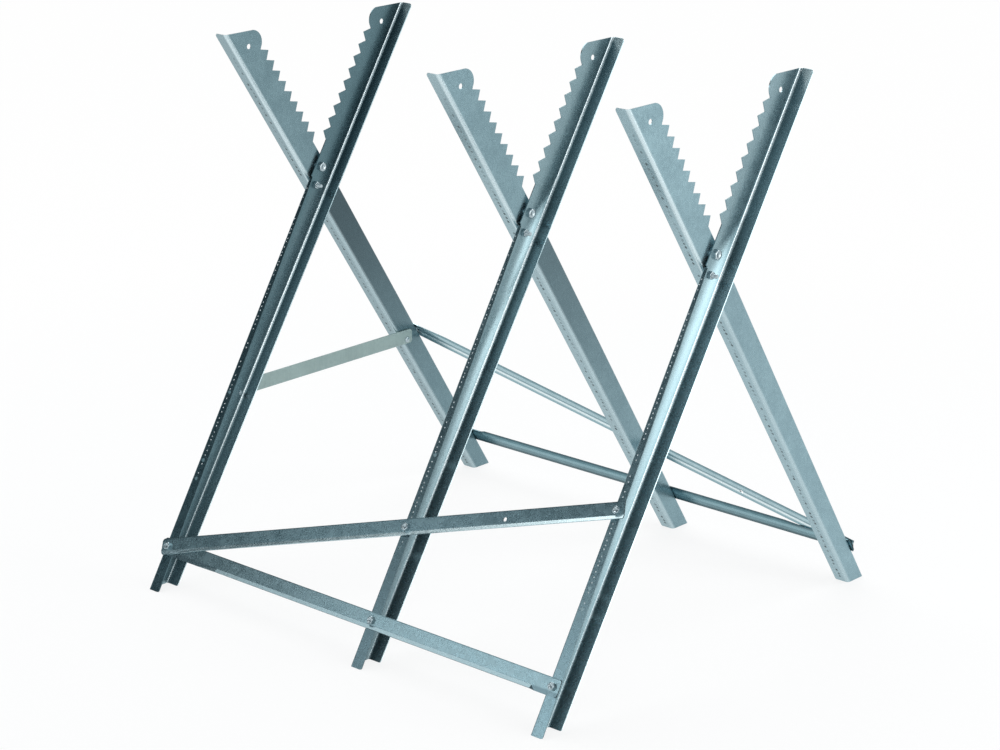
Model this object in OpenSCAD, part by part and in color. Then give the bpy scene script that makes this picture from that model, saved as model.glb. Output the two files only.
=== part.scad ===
// Log saw stand. Three crossed pairs of folded sheet legs with toothed arms make a row of
// V rests for a log. Lipped braces tie the legs of each side, the two sides hinge on one line
// of pivot bolts, and a hooked strap in the left frame holds them open.
// X runs along the log, Y across it and Z up. The origin is on the floor in the middle.

/* [Stand] */
// Height of the arm tips above the floor
stand_h = 800; // [720:5:880]
// Lean of every leg from upright, in degrees
leg_lean = 32.8; // [31:0.2:35]
// Height of the pivot line above the floor
pivot_z = 574; // [555:1:590]
// Distance of the end frames from the middle of the stand
end_frame_x = 380; // [330:5:430]
// Distance of the middle frame to the right of the middle of the stand
mid_frame_x = 45; // [0:5:60]
// Gap between the two crossed webs of a frame
web_gap = 4; // [3.6:0.2:5]

/* [Sheet] */
// Thickness of the folded sheet
sheet_t = 1.5; // [1.2:0.1:1.8]
// Outside radius of the fold at a leg's outer flange
outer_bend_r = 4; // [3:0.1:5]
// Outside radius of the fold at a leg's V-side flange
inner_bend_r = 2.7; // [2.5:0.1:2.8]

/* [Leg channel] */
// Distance from the pivot line to the face of the outer flange
outer_edge = 28.5; // [26:0.5:32]
// Width of the outer flange
outer_flange_w = 23; // [19:0.5:28]
// Width over the channel at the floor
foot_w = 31; // [29:0.5:36]
// Width over the channel at its upper end
neck_w = 42.8; // [41:0.2:45]
// Distance from the pivot down to the upper end of the channel
neck_drop = 24; // [21:0.5:28]
// Width of the V-side flange at the floor
foot_flange_w = 21; // [19:0.5:25]
// Width of the V-side flange at its upper end
neck_flange_w = 7; // [6:0.5:10]
// Length of the relief notch above the V-side flange
relief_len = 3.5; // [2:0.5:5]
// Depth of the relief notch
relief_deep = 5.4; // [4.4:0.2:7]
// Radius of the flange corners at the floor
foot_corner_r = 3.5; // [2:0.5:5]
// Radius of the outer flange's corner at the top
top_corner_r = 6.5; // [4:0.5:9]

/* [Toothed arm] */
// Distance from the pivot up to the first tooth tip
tip_first = 49.5; // [45:0.5:60]
// Distance from tooth to tooth
tip_pitch = 20.5; // [17:0.5:24]
// Upper side of a tooth as a share of the pitch
fall_share = 0.532; // [0.4:0.004:0.6]
// Distance from the pivot line to the tooth roots
tooth_root = 12.2; // [11.6:0.1:14]
// Height of the teeth over their roots
tooth_h = 11.5; // [9:0.5:13]
// Radius of the arm's rounded nose
nose_r = 19; // [17:0.5:21]
// Distance from the pivot line to the centre of the nose
nose_off = 5.5; // [4:0.5:7]
// How far the flat top cuts into the nose
nose_bite = 0.4; // [0.2:0.1:1]
// Diameter of the hole in the arm
arm_hole_d = 8; // [6:0.5:10]
// Distance from the pivot line to the hole in the arm
arm_hole_off = 2.7; // [1:0.1:5]

/* [Pivot] */
// Diameter of the pivot bolts
pivot_d = 8; // [6:0.5:10]
// Running clearance on the radius
run_clear = 0.05; // [0.02:0.01:0.09]
// Width across the flats of the pivot bolt heads and nuts
pivot_af = 13; // [12:0.5:15]
// Height of the pivot bolt heads
pivot_head_h = 4.4; // [3:0.2:6]
// Height of the pivot nuts
pivot_nut_h = 6.5; // [5:0.5:8]
// Length of bolt left past a pivot nut
pivot_end = 3; // [2:0.5:5]
// Diameter of the spacer rings
spacer_d = 18; // [16:0.5:22]

/* [Guide bolt] */
// Diameter of the guide bolts
guide_d = 6; // [5:0.5:7]
// Distance of the guide bolts below the pivot along the leg
guide_drop = 28.9; // [26:0.1:34]
// Distance of the guide bolts from the pivot line
guide_off = 2.6; // [1:0.1:4]
// Diameter of the low heads between the webs
guide_head_d = 12; // [10:0.5:13]
// Height of the low heads between the webs
guide_head_h = 2.6; // [2:0.2:3]
// Reach of the guide bolts past the web
guide_reach = 13; // [10:0.5:16]

/* [Braces] */
// Distance from the bolt line to the plain edge of a brace
brace_edge = 12; // [10:0.5:14]
// Distance from the bolt line to the crease of a brace
brace_crease = 7; // [6.6:0.2:9]
// Width of the lip past the crease of a brace
lip_w = 6; // [5:0.5:9]
// Bend of the lip out of the face, in degrees
lip_turn = 27; // [20:1:45]
// Length of a brace past its end bolts
brace_end = 12; // [10:0.5:15]
// Height of the low bolts along the leg
low_hole = 69; // [60:1:80]
// Height of the high bolts along the leg
high_hole = 315; // [295:5:330]
// Distance of the brace holes from the web's inner face
hole_in = 7.8; // [7.8:0.1:8.4]
// Spare hole as a share of a diagonal's length
spare_share = 0.772; // [0.74:0.004:0.8]
// Length of the flat at a diagonal's first bolt
end_flat = 8; // [7:0.5:12]
// Length over which the lip grows from a diagonal's flat end
end_fade = 50; // [40:1:60]
// Length of a lower brace's long flat end past its bolt
long_flat = 71; // [68:1:80]
// Length over which the lip grows from the long flat end
long_fade = 40; // [30:1:50]
// Length of a lower brace's short flat end past its bolt
short_flat = 27; // [22:1:32]
// Length over which the lip fades into the short flat end
short_fade = 7; // [5:1:12]
// Radius of the flat end's corners
flat_corner_r = 5; // [3:0.5:7]

/* [Brace fasteners] */
// Diameter of the brace bolts
bolt_d = 6; // [5:0.5:6]
// Clearance of a bolt in its hole on the radius
bolt_clear = 0.1; // [0.05:0.05:0.3]
// Width across the flats of the bolt heads and nuts
bolt_af = 10; // [9:0.5:10]
// Height of the bolt heads
head_h = 4; // [3:0.2:5]
// Height of the nuts
nut_h = 5; // [4:0.2:6]
// Length of the bolts under the head
bolt_len = 12; // [11.5:0.5:16]
// Diameter of the shim washers
washer_d = 12; // [11:0.5:13]

/* [Strap] */
// Width of the strap
strap_w = 22.5; // [20:0.5:26]
// Thickness of the strap
strap_t = 2; // [1.5:0.1:2.4]
// Distance of the strap's fasteners below the pivot along the leg
strap_drop = 362.3; // [340:0.5:385]
// Distance of the strap's fasteners from the pivot line
strap_off = 19.3; // [18:0.1:20]
// Height of the strap's middle over its fasteners
strap_rise = 5; // [3:0.5:6]
// Length of the strap past the rivet
strap_rivet_end = 11; // [9:0.5:14]
// Length of the strap past the stud
strap_stud_end = 13; // [10:0.5:16]
// Slope of the mouth of the hook, in degrees
mouth_slope = 25; // [20:1:26]
// Radius of the strap's corners
strap_corner_r = 5; // [3:0.5:7]
// Diameter of the rivet and of the stud
pin_d = 6; // [5:0.5:7]
// Diameter of the heads and collars on them
pin_head_d = 9.6; // [9:0.2:12]
// Height of the rivet's heads
rivet_head_h = 2; // [1.5:0.1:3]
// Diameter of the stud's rounded end
stud_knob_d = 8; // [7.6:0.2:9]
// Height of the stud's rounded end
stud_knob_h = 3; // [2:0.5:4]
// Play of the strap along the stud, on each side
strap_play = 0.2; // [0.1:0.05:0.4]
// Clearance of the hook round the stud
hook_clear = 0.1; // [0.05:0.05:0.3]

/* [Hidden] */
$fn = 16;
nose_sides = 48;
cut_over = 5;
fold_lap = 2;
riser_share = 0.7;
half_share = 0.5;
hex_sides = 6;
hex_turn = 30;
quarter = 90;
half_turn = 180;

left_x = -end_frame_x;
right_x = end_frame_x;
web_face = web_gap * half_share;
web_back = web_face + sheet_t;

// Leg outline: s runs up the leg from the pivot and v towards the V side
foot_v = foot_w - outer_edge;
foot_s = -(pivot_z + foot_v * sin(leg_lean)) / cos(leg_lean);
neck_s = -neck_drop;
neck_v = neck_w - outer_edge;
taper = atan2(neck_v - foot_v, neck_s - foot_s);
channel_len = norm([neck_s - foot_s, neck_v - foot_v]);
web_v = outer_bend_r - outer_edge;
outer_foot_s = -(pivot_z - outer_edge * sin(leg_lean)) / cos(leg_lean);
outer_top_s = (stand_h - pivot_z + outer_edge * sin(leg_lean)) / cos(leg_lean);
outer_len = outer_top_s - outer_foot_s;

// Teeth: as many as fit between the first tip and the nose
nose_drop = stand_h - pivot_z - nose_r + nose_bite;
nose_s = (nose_drop - nose_off * sin(leg_lean)) / cos(leg_lean);
nose_side_share = 0.9;
tip_fall = tip_pitch * fall_share;
tip_rise = tip_pitch - tip_fall;
tip_v = tooth_root + tooth_h;
tooth_zone = nose_s - nose_r * nose_side_share - tip_fall - tip_first;
tooth_count = floor(tooth_zone / tip_pitch) + 1;
last_root_s = tip_first + tip_pitch * (tooth_count - 1) + tip_fall;

// Plane of the braces: it leans with the V-side faces of the legs
brace_lean = leg_lean - taper;
brace_y = foot_s * sin(leg_lean) - foot_v * cos(leg_lean);
hole_x = web_face + hole_in;
span = right_x - left_x;
mid_share = (mid_frame_x - left_x) / span;
brace_rise = high_hole - low_hole;
diagonal_turn = atan2(brace_rise, span);
diagonal_len = norm([span, brace_rise]);
mid_high_hole = low_hole + brace_rise * mid_share;
mid_low_hole = high_hole - brace_rise * mid_share;
flat_low = brace_crease + lip_w;
lip_lap = sheet_t * half_share;

bolt_r = bolt_d * half_share;
bolt_hole_r = bolt_r + bolt_clear;
pivot_r = pivot_d * half_share;
pin_r = pin_d * half_share;
guide_r = guide_d * half_share;

// Strap: its fasteners lie at this distance from the middle plane and this height
strap_y = strap_drop * sin(leg_lean) - strap_off * cos(leg_lean);
strap_z = pivot_z - strap_drop * cos(leg_lean) - strap_off * sin(leg_lean);
strap_half_w = strap_w * half_share;
strap_face = strap_t * half_share;
strap_low = strap_rise - strap_half_w;
strap_high = strap_rise + strap_half_w;
hook_r = pin_r + hook_clear;
mouth_top = hook_r * cos(mouth_slope);
mouth_low = strap_low - cut_over;

// Cross-section of a fold: a tail of web, the bend and a stub of flange
module fold_section(bend_r, tail, reach) {
  translate([bend_r, 0])
    square([tail, sheet_t]);
  difference() {
    intersection() {
      translate([bend_r, bend_r])
        circle(r = bend_r);
      square([bend_r, bend_r]);
    }
    translate([bend_r, bend_r])
      circle(r = bend_r - sheet_t);
  }
  translate([0, bend_r])
    square([sheet_t, reach - bend_r]);
}

// A section drawn across, run out along x
module run_along(length) {
  rotate([quarter, 0, quarter])
    linear_extrude(height = length)
      children();
}

// An outline in x and z, given the sheet's thickness towards minus y
module stand_up() {
  rotate([quarter, 0, 0])
    linear_extrude(height = sheet_t)
      children();
}

// A rectangle with four rounded corners
module soft_rectangle(x0, x1, y0, y1, r) {
  translate([x0 + r, y0])
    square([x1 - x0 - r - r, y1 - y0]);
  translate([x0, y0 + r])
    square([x1 - x0, y1 - y0 - r - r]);
  for (x = [x0 + r, x1 - r])
    for (y = [y0 + r, y1 - r])
      translate([x, y])
        circle(r = r);
}

// A hexagon prism with flats facing x
module hexagon(across, high) {
  rotate([0, 0, hex_turn])
    cylinder(d = across / cos(hex_turn), h = high, $fn = hex_sides);
}

// Outline of the leg's web, from the floor to the nose
module web_outline() {
  tips = [
    for (k = [0 : tooth_count - 1])
      for (p = [[0, tip_v], [tip_fall, tooth_root]])
        [tip_first + tip_pitch * k + p[0], p[1]]
  ];
  down = channel_len + cut_over;
  polygon(concat(
    [
      [
        neck_s - down * cos(taper) + relief_deep * sin(taper),
        neck_v - down * sin(taper) - relief_deep * cos(taper)
      ],
      [
        neck_s + relief_len,
        neck_v + relief_len * tan(taper) - relief_deep / cos(taper)
      ],
      [neck_s + relief_len, tooth_root],
      [tip_first - tip_rise, tooth_root]
    ],
    tips,
    [
      [last_root_s + tip_rise * riser_share, tooth_root + tooth_h * riser_share],
      [nose_s, nose_off],
      [
        nose_s + (nose_r + cut_over) * cos(leg_lean),
        nose_off + (nose_r + cut_over) * sin(leg_lean)
      ],
      [outer_top_s + cut_over, web_v],
      [foot_s - cut_over, web_v]
    ]
  ));
  translate([nose_s, nose_off])
    circle(r = nose_r, $fn = nose_sides);
}

// Outer flange, seen along v
module outer_flange() {
  stub = outer_bend_r + fold_lap;
  translate([outer_foot_s - cut_over, -outer_edge, 0])
    run_along(outer_len + cut_over + cut_over)
      fold_section(outer_bend_r, fold_lap, stub);
  translate([0, sheet_t - outer_edge, 0])
    stand_up() {
      translate([outer_foot_s - sheet_t, outer_bend_r])
        square([outer_len + cut_over, outer_flange_w - outer_bend_r - top_corner_r]);
      translate([outer_foot_s - sheet_t + foot_corner_r, outer_bend_r])
        square([
          outer_len + sheet_t - foot_corner_r - top_corner_r,
          outer_flange_w - outer_bend_r
        ]);
      translate([outer_foot_s - sheet_t + foot_corner_r, outer_flange_w - foot_corner_r])
        circle(r = foot_corner_r);
      translate([outer_foot_s - sheet_t, outer_bend_r])
        square([foot_corner_r, outer_flange_w - outer_bend_r - foot_corner_r]);
      translate([outer_top_s - top_corner_r, outer_flange_w - top_corner_r])
        circle(r = top_corner_r);
    }
}

// V-side flange of the channel, on its own tapered line that ends at the neck
module v_flange() {
  down = channel_len + cut_over;
  widen = (foot_flange_w - neck_flange_w) / channel_len;
  stub = inner_bend_r + fold_lap;
  translate([neck_s, neck_v, 0])
    rotate([0, 0, taper]) {
      mirror([0, 1, 0])
        translate([-down, 0, 0])
          run_along(down)
            fold_section(inner_bend_r, relief_deep, stub);
      stand_up() {
        polygon([
          [-down, inner_bend_r],
          [0, inner_bend_r],
          [0, neck_flange_w],
          [foot_corner_r - channel_len, foot_flange_w],
          [-channel_len, foot_flange_w - foot_corner_r],
          [-down, foot_flange_w - foot_corner_r]
        ]);
        translate([foot_corner_r - channel_len, foot_flange_w - foot_corner_r])
          circle(r = foot_corner_r);
      }
    }
}

// A leg in its own frame: s along x, v along y and away from the other leg along z
module leg_body(strap_hole) {
  thick = outer_flange_w + foot_flange_w;
  difference() {
    union() {
      linear_extrude(height = sheet_t)
        web_outline();
      outer_flange();
      v_flange();
    }
    rotate([0, 0, leg_lean]) {
      translate([-pivot_z - stand_h, -stand_h, -cut_over])
        cube([stand_h, stand_h + stand_h, thick]);
      translate([stand_h - pivot_z, -stand_h, -cut_over])
        cube([stand_h, stand_h + stand_h, thick]);
    }
    translate([0, 0, -cut_over])
      cylinder(r = pivot_r + run_clear, h = sheet_t + cut_over + cut_over);
    translate([-guide_drop, -guide_off, -cut_over])
      cylinder(r = guide_r + bolt_clear, h = sheet_t + cut_over + cut_over);
    translate([nose_s, -arm_hole_off, -cut_over])
      cylinder(d = arm_hole_d, h = sheet_t + cut_over + cut_over);
    if (strap_hole)
      translate([-strap_drop, -strap_off, -cut_over])
        cylinder(r = pin_r + run_clear, h = sheet_t + cut_over + cut_over);
    translate([neck_s, neck_v, 0])
      rotate([0, 0, taper])
        for (up = [low_hole, mid_low_hole, mid_high_hole, high_hole])
          translate([up - channel_len, cut_over, hole_in])
            rotate([quarter, 0, 0])
              cylinder(r = bolt_hole_r, h = sheet_t + cut_over + cut_over);
  }
}

module front_leg(frame_x, strap_hole) {
  translate([frame_x + web_face, 0, pivot_z])
    rotate([quarter - leg_lean, 0, 0])
      rotate([quarter, 0, quarter])
        leg_body(strap_hole);
}

module rear_leg(frame_x, strap_hole) {
  rotate([0, 0, half_turn])
    front_leg(-frame_x, strap_hole);
}

module front_leg_left() {
  color([0.55, 0.62, 0.63])
    front_leg(left_x, true);
}

module front_leg_middle() {
  color([0.58, 0.65, 0.66])
    front_leg(mid_frame_x, false);
}

module front_leg_right() {
  color([0.62, 0.69, 0.7])
    front_leg(right_x, false);
}

module rear_leg_left() {
  color([0.66, 0.73, 0.75])
    rear_leg(left_x, true);
}

module rear_leg_middle() {
  color([0.66, 0.73, 0.75])
    rear_leg(mid_frame_x, false);
}

module rear_leg_right() {
  color([0.68, 0.75, 0.77])
    rear_leg(right_x, false);
}

// Brace planes: x along the stand, y up the legs' V-side faces, z outwards from them
module front_plane() {
  translate([0, brace_y, 0])
    rotate([quarter - brace_lean, 0, 0])
      children();
}

module rear_plane() {
  rotate([0, 0, half_turn])
    front_plane()
      children();
}

// Round holes through a brace at the given distances from its first bolt
module brace_holes(places) {
  for (u = places)
    translate([u, 0, -cut_over])
      cylinder(r = bolt_hole_r, h = sheet_t + cut_over + cut_over);
}

// Section of a brace's lip, bent outwards from the crease
module lip_section() {
  translate([-brace_crease, 0])
    rotate(-lip_turn)
      translate([-lip_w, 0])
        square([lip_w, sheet_t]);
}

// Three-cornered panel between a flat end and the lip, with the end of the crease at the origin
module lip_dart(fade) {
  slope = atan2(lip_w, fade);
  out = lip_w * sin(lip_turn);
  down = lip_w * cos(lip_turn);
  rotate([0, 0, slope])
    rotate([-atan2(out, down * cos(slope)), 0, 0])
      linear_extrude(height = sheet_t)
        polygon([
          [-norm([fade, lip_w]), 0],
          [0, 0],
          [-down * sin(slope), -norm([out, down * cos(slope)])]
        ]);
}

// Outline of a flat end round its bolt at the origin, down to the slope where the lip grows
module flat_end(flat_len, fade) {
  soft_rectangle(-brace_end, flat_len, -flat_low, brace_edge, flat_corner_r);
  polygon([
    [0, 0],
    [0, -flat_low],
    [flat_len, -flat_low],
    [flat_len + fade, -brace_crease],
    [flat_len + fade, 0]
  ]);
}

// Diagonal bar from its first bolt along x, with its lip along the lower edge
module diagonal_bar() {
  lip_from = end_flat + end_fade;
  lip_to = diagonal_len + brace_end;
  difference() {
    union() {
      linear_extrude(height = sheet_t) {
        translate([0, -brace_crease])
          square([lip_to, brace_crease + brace_edge]);
        flat_end(end_flat, end_fade);
      }
      translate([lip_from - lip_lap, 0, 0])
        run_along(lip_to - lip_from + lip_lap)
          lip_section();
      translate([lip_from, -brace_crease, 0])
        lip_dart(end_fade);
    }
    brace_holes([
      0,
      diagonal_len * mid_share,
      diagonal_len * spare_share,
      diagonal_len
    ]);
  }
}

// Lower bar from its long flat end's bolt along x, with its lip along the lower edge
module lower_bar(middle_share) {
  lip_from = long_flat + long_fade;
  lip_to = span - short_flat - short_fade;
  difference() {
    union() {
      linear_extrude(height = sheet_t) {
        translate([0, -brace_crease])
          square([span, brace_crease + brace_edge]);
        flat_end(long_flat, long_fade);
        translate([span, 0])
          mirror([1, 0])
            flat_end(short_flat, short_fade);
      }
      translate([lip_from - lip_lap, 0, 0])
        run_along(lip_to - lip_from + lip_lap + lip_lap)
          lip_section();
      translate([lip_from, -brace_crease, 0])
        lip_dart(long_fade);
      translate([lip_to, -brace_crease, 0])
        mirror([1, 0, 0])
          lip_dart(short_fade);
    }
    brace_holes([0, span * middle_share, span]);
  }
}

module front_diagonal_brace() {
  color([0.52, 0.59, 0.6])
    front_plane()
      translate([left_x + hole_x, low_hole, sheet_t])
        rotate([0, 0, diagonal_turn])
          diagonal_bar();
}

module rear_diagonal_brace() {
  color([0.72, 0.78, 0.79])
    rear_plane()
      translate([right_x + hole_x, high_hole, sheet_t])
        rotate([0, 0, diagonal_turn + half_turn])
          diagonal_bar();
}

module front_lower_brace() {
  color([0.7, 0.76, 0.77])
    front_plane()
      translate([left_x + hole_x, low_hole, 0])
        lower_bar(mid_share);
}

module rear_lower_brace() {
  color([0.68, 0.74, 0.75])
    rear_plane()
      translate([left_x + hole_x, low_hole, 0])
        mirror([0, 1, 0])
          lower_bar(1 - mid_share);
}

// Bolt places on a brace plane: x, height along the leg, height of the head's seat
function bolt_places(middle_x, middle_hole) = [
  [left_x + hole_x, low_hole, sheet_t + sheet_t],
  [middle_x + hole_x, low_hole, sheet_t],
  [right_x + hole_x, low_hole, sheet_t],
  [middle_x + hole_x, middle_hole, sheet_t + sheet_t],
  [right_x + hole_x, high_hole, sheet_t + sheet_t]
];

module brace_bolts(places) {
  for (p = places)
    translate(p) {
      hexagon(bolt_af, head_h);
      translate([0, 0, -bolt_len])
        cylinder(r = bolt_r, h = bolt_len);
    }
}

module brace_nuts(places) {
  for (p = places)
    translate([p[0], p[1], -sheet_t - nut_h])
      difference() {
        hexagon(bolt_af, nut_h);
        translate([0, 0, -cut_over])
          cylinder(r = bolt_r + run_clear, h = nut_h + cut_over + cut_over);
      }
}

module shim_washers(middle_x, middle_hole) {
  for (p = [[middle_x + hole_x, middle_hole], [right_x + hole_x, high_hole]])
    translate(p)
      difference() {
        cylinder(d = washer_d, h = sheet_t);
        translate([0, 0, -cut_over])
          cylinder(r = bolt_hole_r, h = sheet_t + cut_over + cut_over);
      }
}

module front_brace_bolts() {
  color([0.75, 0.77, 0.76])
    front_plane()
      brace_bolts(bolt_places(mid_frame_x, mid_high_hole));
}

module front_brace_nuts() {
  color([0.75, 0.77, 0.76])
    front_plane()
      brace_nuts(bolt_places(mid_frame_x, mid_high_hole));
}

module front_brace_washers() {
  color([0.75, 0.77, 0.76])
    front_plane()
      shim_washers(mid_frame_x, mid_high_hole);
}

module rear_brace_bolts() {
  color([0.75, 0.77, 0.76])
    rear_plane()
      brace_bolts(bolt_places(-mid_frame_x, mid_low_hole));
}

module rear_brace_nuts() {
  color([0.75, 0.77, 0.76])
    rear_plane()
      brace_nuts(bolt_places(-mid_frame_x, mid_low_hole));
}

module rear_brace_washers() {
  color([0.75, 0.77, 0.76])
    rear_plane()
      shim_washers(-mid_frame_x, mid_low_hole);
}

// Pivot line of a frame, with local z along x
module at_pivot(frame_x) {
  translate([frame_x, 0, pivot_z])
    rotate([quarter, 0, quarter])
      children();
}

module pivot_bolt(frame_x) {
  shank = web_back + web_back + pivot_nut_h + pivot_end;
  color([0.72, 0.75, 0.75])
    at_pivot(frame_x) {
      translate([0, 0, web_back])
        hexagon(pivot_af, pivot_head_h);
      translate([0, 0, web_back - shank])
        cylinder(r = pivot_r, h = shank);
    }
}

module pivot_nut(frame_x) {
  color([0.72, 0.75, 0.75])
    at_pivot(frame_x)
      translate([0, 0, -web_back - pivot_nut_h])
        difference() {
          hexagon(pivot_af, pivot_nut_h);
          translate([0, 0, -cut_over])
            cylinder(r = pivot_r + run_clear, h = pivot_nut_h + cut_over + cut_over);
        }
}

module pivot_spacer(frame_x) {
  color([0.66, 0.69, 0.69])
    at_pivot(frame_x)
      translate([0, 0, -web_face])
        difference() {
          cylinder(d = spacer_d, h = web_gap);
          translate([0, 0, -cut_over])
            cylinder(r = pivot_r + run_clear, h = web_gap + cut_over + cut_over);
        }
}

// Guide bolt of a front leg, with local z along x
module at_guide(frame_x) {
  translate([frame_x, 0, pivot_z])
    rotate([quarter - leg_lean, 0, 0])
      rotate([quarter, 0, quarter])
        translate([-guide_drop, -guide_off, 0])
          children();
}

module guide_bolt(frame_x) {
  color([0.7, 0.73, 0.73])
    at_guide(frame_x) {
      translate([0, 0, web_face - guide_head_h])
        cylinder(d = guide_head_d, h = guide_head_h);
      translate([0, 0, web_face])
        cylinder(r = guide_r, h = sheet_t + guide_reach);
    }
}

module guide_nut(frame_x) {
  color([0.7, 0.73, 0.73])
    at_guide(frame_x)
      translate([0, 0, web_back])
        difference() {
          hexagon(bolt_af, nut_h);
          translate([0, 0, -cut_over])
            cylinder(r = guide_r + run_clear, h = nut_h + cut_over + cut_over);
        }
}

module pivot_bolt_left() {
  pivot_bolt(left_x);
}

module pivot_bolt_middle() {
  pivot_bolt(mid_frame_x);
}

module pivot_bolt_right() {
  pivot_bolt(right_x);
}

module pivot_nut_left() {
  pivot_nut(left_x);
}

module pivot_nut_middle() {
  pivot_nut(mid_frame_x);
}

module pivot_nut_right() {
  pivot_nut(right_x);
}

module pivot_spacer_left() {
  pivot_spacer(left_x);
}

module pivot_spacer_middle() {
  pivot_spacer(mid_frame_x);
}

module pivot_spacer_right() {
  pivot_spacer(right_x);
}

module guide_bolt_left() {
  guide_bolt(left_x);
}

module guide_bolt_middle() {
  guide_bolt(mid_frame_x);
}

module guide_bolt_right() {
  guide_bolt(right_x);
}

module guide_nut_left() {
  guide_nut(left_x);
}

module guide_nut_middle() {
  guide_nut(mid_frame_x);
}

module guide_nut_right() {
  guide_nut(right_x);
}

// Mouth of the hook, from the stud's place down and inwards
module hook_mouth() {
  circle(r = hook_r);
  polygon([
    [-hook_r, 0],
    [-hook_r, mouth_low],
    [hook_r * sin(mouth_slope) + (mouth_top - mouth_low) / tan(mouth_slope), mouth_low],
    [hook_r * sin(mouth_slope), mouth_top]
  ]);
}

// Flat strap between the webs of the left frame, hooked over the stud at its front end
module spreader_strap() {
  color([0.66, 0.67, 0.65])
    translate([left_x - strap_face, 0, strap_z])
      run_along(strap_t)
        difference() {
          soft_rectangle(
            -strap_y - strap_stud_end, strap_y + strap_rivet_end,
            strap_low, strap_high, strap_corner_r
          );
          translate([strap_y, 0])
            circle(r = pin_r + run_clear);
          translate([-strap_y, 0])
            hook_mouth();
        }
}

// Rivet through the left rear leg, with a collar between the web and the strap
module strap_rivet() {
  color([0.74, 0.76, 0.75])
    translate([left_x, strap_y, strap_z])
      rotate([quarter, 0, quarter]) {
        translate([0, 0, -web_back - rivet_head_h])
          cylinder(d = pin_head_d, h = rivet_head_h);
        translate([0, 0, -web_back])
          cylinder(r = pin_r, h = web_back + strap_face);
        translate([0, 0, -web_face])
          cylinder(d = pin_head_d, h = web_face - strap_face);
        translate([0, 0, strap_face])
          cylinder(d = pin_head_d, h = rivet_head_h);
      }
}

// Stud through the left front leg, with a collar and a head that keep the hook in place
module strap_stud() {
  color([0.74, 0.76, 0.75])
    translate([left_x, -strap_y, strap_z])
      rotate([quarter, 0, quarter]) {
        translate([0, 0, web_back])
          cylinder(d = stud_knob_d, h = stud_knob_h);
        translate([0, 0, -strap_face - strap_play])
          cylinder(r = pin_r, h = web_back + strap_face + strap_play);
        translate([0, 0, strap_face + strap_play])
          cylinder(d = pin_head_d, h = web_face - strap_face - strap_play);
        translate([0, 0, -strap_face - strap_play - rivet_head_h])
          cylinder(d = pin_head_d, h = rivet_head_h);
      }
}

front_leg_left();
front_leg_middle();
front_leg_right();
rear_leg_left();
rear_leg_middle();
rear_leg_right();
front_diagonal_brace();
front_lower_brace();
rear_diagonal_brace();
rear_lower_brace();
spreader_strap();
strap_rivet();
strap_stud();
pivot_bolt_left();
pivot_bolt_middle();
pivot_bolt_right();
pivot_nut_left();
pivot_nut_middle();
pivot_nut_right();
pivot_spacer_left();
pivot_spacer_middle();
pivot_spacer_right();
guide_bolt_left();
guide_bolt_middle();
guide_bolt_right();
guide_nut_left();
guide_nut_middle();
guide_nut_right();
front_brace_bolts();
front_brace_nuts();
front_brace_washers();
rear_brace_bolts();
rear_brace_nuts();
rear_brace_washers();
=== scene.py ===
import math

import bpy
import numpy as np
from mathutils import Matrix


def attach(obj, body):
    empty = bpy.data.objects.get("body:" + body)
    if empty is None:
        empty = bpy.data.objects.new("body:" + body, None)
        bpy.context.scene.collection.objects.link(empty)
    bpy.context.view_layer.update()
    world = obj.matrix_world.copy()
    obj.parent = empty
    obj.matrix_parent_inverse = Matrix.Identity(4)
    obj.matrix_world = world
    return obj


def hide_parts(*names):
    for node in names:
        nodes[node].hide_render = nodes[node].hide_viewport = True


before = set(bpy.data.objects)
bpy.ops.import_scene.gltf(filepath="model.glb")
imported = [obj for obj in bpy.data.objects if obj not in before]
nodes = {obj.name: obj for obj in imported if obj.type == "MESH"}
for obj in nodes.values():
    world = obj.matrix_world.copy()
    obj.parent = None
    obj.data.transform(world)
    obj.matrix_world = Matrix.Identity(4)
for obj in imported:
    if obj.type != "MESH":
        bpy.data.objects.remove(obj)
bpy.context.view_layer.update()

mm = 0.001
meanNoise = 0.5    # what the values of a noise spread about
alongStand, upright = (1.0, 0.0, 0.0), (0.0, 0.0, 1.0)
print("frame loaded:", len(nodes), "nodes")

# lengths are in mm, or in metres for the studio and the view
# angles are in degrees, or in radians for a look's flow
stand = {
    "frames": {"left": -380.0, "middle": 45.0, "right": 380.0},
    "lean": 32.8,
    "pivotHeight": 574.0,
    "webFace": 2.0,
    "webBack": 3.5,
    "sheet": 1.5,
    "neckDrop": 24.0,
    "neckV": 14.3,
    "footV": 2.5,
    "holeIn": 7.8,
}
lean = math.radians(stand["lean"])
upLeg = np.array([0.0, math.sin(lean), math.cos(lean)])    # along a front leg, from its foot to its tip
toV = np.array([0.0, -math.cos(lean), math.sin(lean)])    # across it, from its outer fold to its teeth
pivotAlong = float(upLeg[2]) * stand["pivotHeight"]
pivotAcross = float(toV[2]) * stand["pivotHeight"]
footAlong = -(stand["pivotHeight"] + stand["footV"] * math.sin(lean)) / math.cos(lean)
taper = math.atan2(stand["neckV"] - stand["footV"], -stand["neckDrop"] - footAlong)
braceLean = lean - taper
braceY = footAlong * math.sin(lean) - stand["footV"] * math.cos(lean)
unturned = np.ones(3)
turnAbout = np.array([-1.0, -1.0, 1.0])    # half a turn about the upright axis, to a rear leg


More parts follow.
